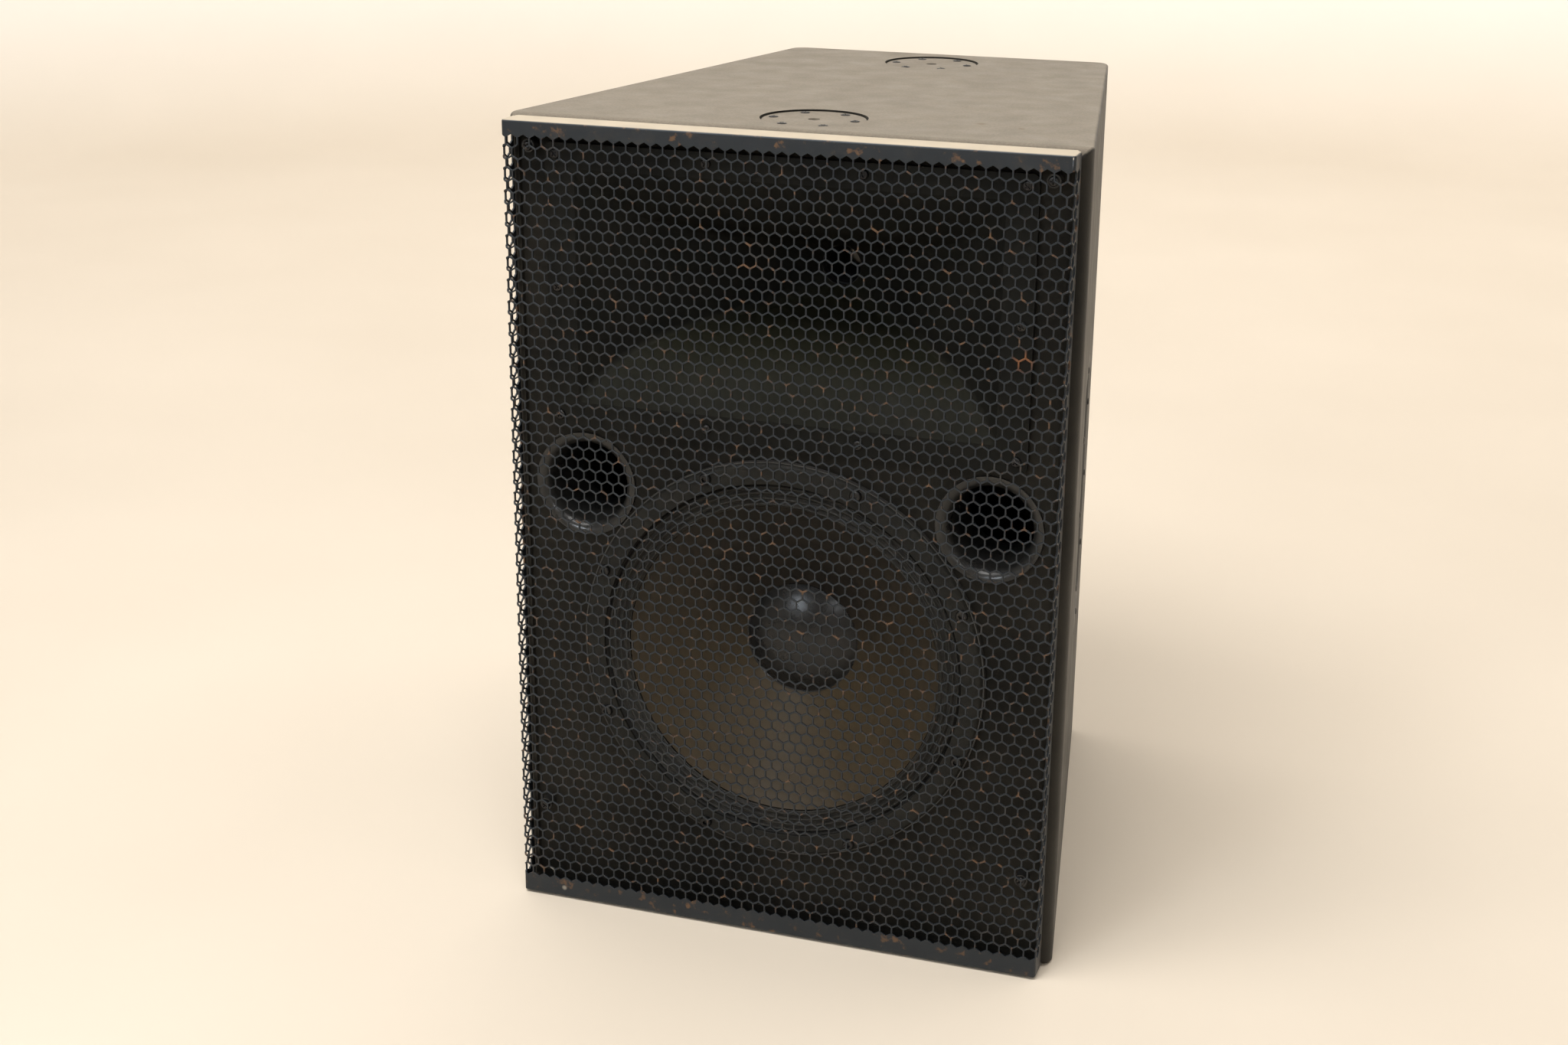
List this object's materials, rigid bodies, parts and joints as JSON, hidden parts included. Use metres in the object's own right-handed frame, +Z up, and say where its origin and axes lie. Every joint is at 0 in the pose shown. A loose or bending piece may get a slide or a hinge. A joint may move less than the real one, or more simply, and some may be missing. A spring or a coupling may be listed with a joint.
{
  "type": "powered loudspeaker cabinet",
  "caption": "Upright tapered plywood loudspeaker with a perforated steel front grille, horn, round woofer, port tubes, side handles, rigging plates and a rear amplifier.",
  "frame": {"origin": "middle of the underside of the cabinet's bounding box", "axes": "+Z up, the grille faces -Y, the amplifier faces +Y, +X is to the right of someone facing the grille"},
  "size_m": [0.5284, 0.572, 0.762],
  "materials": {
    "cabinet_paint": "black textured paint on plywood",
    "lining_wool": "loose polyester wool",
    "grille_steel": "semi-gloss black powder coat",
    "black_screw": "black oxide",
    "black_plastic": "matte black",
    "horn_plastic": "satin black moulding",
    "driver_metal": "machined",
    "magnet_ferrite": "ground ferrite",
    "coil_copper": "enamelled winding",
    "diaphragm_metal": "formed foil",
    "frame_casting": "black powder coat",
    "gasket_foam": "matt foam ring",
    "pleated_cloth": "doped cloth",
    "cone_paper": "pressed paper with a faint sheen",
    "dust_cap_paper": "doped paper",
    "former_film": "polyimide film",
    "spider_cloth": "corrugated resin cloth",
    "driver_steel": "plated",
    "rigging_steel": "black powder coat",
    "handle_steel": "black powder coat",
    "handle_grip": "ribbed sleeve",
    "amplifier_metal": "black anodised",
    "heatsink_metal": "black anodised",
    "housing_steel": "zinc plated",
    "circuit_board": "glass epoxy",
    "capacitor_sleeve": "sleeved can",
    "transformer_tape": "taped copper winding",
    "guard_wire": "plated wire",
    "switch_plastic": "glossy black",
    "connector_metal": "black chrome",
    "latch_metal": "nickel",
    "light_lens": "tinted lens"
  },
  "bodies": {
    "cabinet": {"top_panel": "cabinet_paint", "bottom_panel": "cabinet_paint", "left_side_panel": "cabinet_paint", "right_side_panel": "cabinet_paint", "front_baffle": "cabinet_paint", "rear_panel": "cabinet_paint", "wall_linings": "lining_wool", "front_grille": "grille_steel", "grille_screws": "black_screw", "grille_spacers": "black_plastic", "horn_flare": "horn_plastic", "horn_screws": "black_screw", "hf_driver_throat_plate": "driver_metal", "hf_driver_magnet": "magnet_ferrite", "hf_driver_top_plate": "driver_metal", "hf_driver_phase_plug": "driver_metal", "hf_driver_cap": "black_plastic", "woofer_basket": "frame_casting", "woofer_gasket": "gasket_foam", "woofer_bolts": "black_screw", "woofer_top_plate": "driver_steel", "woofer_magnet": "magnet_ferrite", "woofer_pole_piece": "driver_steel", "left_port_tube": "black_plastic", "right_port_tube": "black_plastic", "top_front_rigging_plate": "rigging_steel", "top_rear_rigging_plate": "rigging_steel", "bottom_front_rigging_plate": "rigging_steel", "bottom_rear_rigging_plate": "rigging_steel", "rigging_screws": "black_screw", "left_handle_cup": "handle_steel", "left_handle_bar": "handle_grip", "right_handle_cup": "handle_steel", "right_handle_bar": "handle_grip", "handle_screws": "black_screw", "amplifier_plate": "amplifier_metal", "amplifier_screws": "black_screw", "amplifier_heatsink": "heatsink_metal", "amplifier_housing": "housing_steel", "amplifier_circuit_board": "circuit_board", "filter_capacitors": "capacitor_sleeve", "power_transformer": "transformer_tape", "cooling_fan_frame": "black_plastic", "cooling_fan_guard": "guard_wire", "mains_inlet": "black_plastic", "mains_switch_housing": "black_plastic", "input_connector": "connector_metal", "output_connector": "connector_metal", "status_light": "light_lens"},
    "woofer_cone_assembly": {"woofer_cone": "cone_paper", "woofer_dust_cap": "dust_cap_paper", "woofer_coil_former": "former_film", "woofer_coil_winding": "coil_copper", "woofer_surround": "pleated_cloth", "woofer_spider": "spider_cloth"},
    "hf_diaphragm_assembly": {"hf_diaphragm": "diaphragm_metal", "hf_voice_coil": "coil_copper"},
    "fan_rotor": {"cooling_fan_rotor": "black_plastic"},
    "mains_rocker": {"mains_switch_rocker": "switch_plastic"},
    "input_release": {"input_latch": "latch_metal"}
  },
  "joints": [
    {"name": "woofer_excursion", "type": "slide", "parent": "cabinet", "child": "woofer_cone_assembly", "axis": [0, -1, 0], "range_m": [-0.007, 0.007], "stiffness_N_per_m": 4000, "deforming": ["woofer_surround", "woofer_spider"]},
    {"name": "hf_excursion", "type": "slide", "parent": "cabinet", "child": "hf_diaphragm_assembly", "axis": [0, -1, 0], "range_m": [-0.0005, 0.0005], "stiffness_N_per_m": 20000},
    {"name": "fan_spin", "type": "hinge", "parent": "cabinet", "child": "fan_rotor", "pos_m": [0, 0.2445, 0.318], "axis": [0, 1, 0], "continuous": true},
    {"name": "mains_switch_tip", "type": "hinge", "parent": "cabinet", "child": "mains_rocker", "pos_m": [-0.044, 0.258, 0.16], "axis": [1, 0, 0], "range_deg": [0, 14]},
    {"name": "input_release_press", "type": "slide", "parent": "cabinet", "child": "input_release", "axis": [0, -1, 0], "range_m": [0, 0.0025], "stiffness_N_per_m": 800, "springref_m": -0.0005}
  ]
}
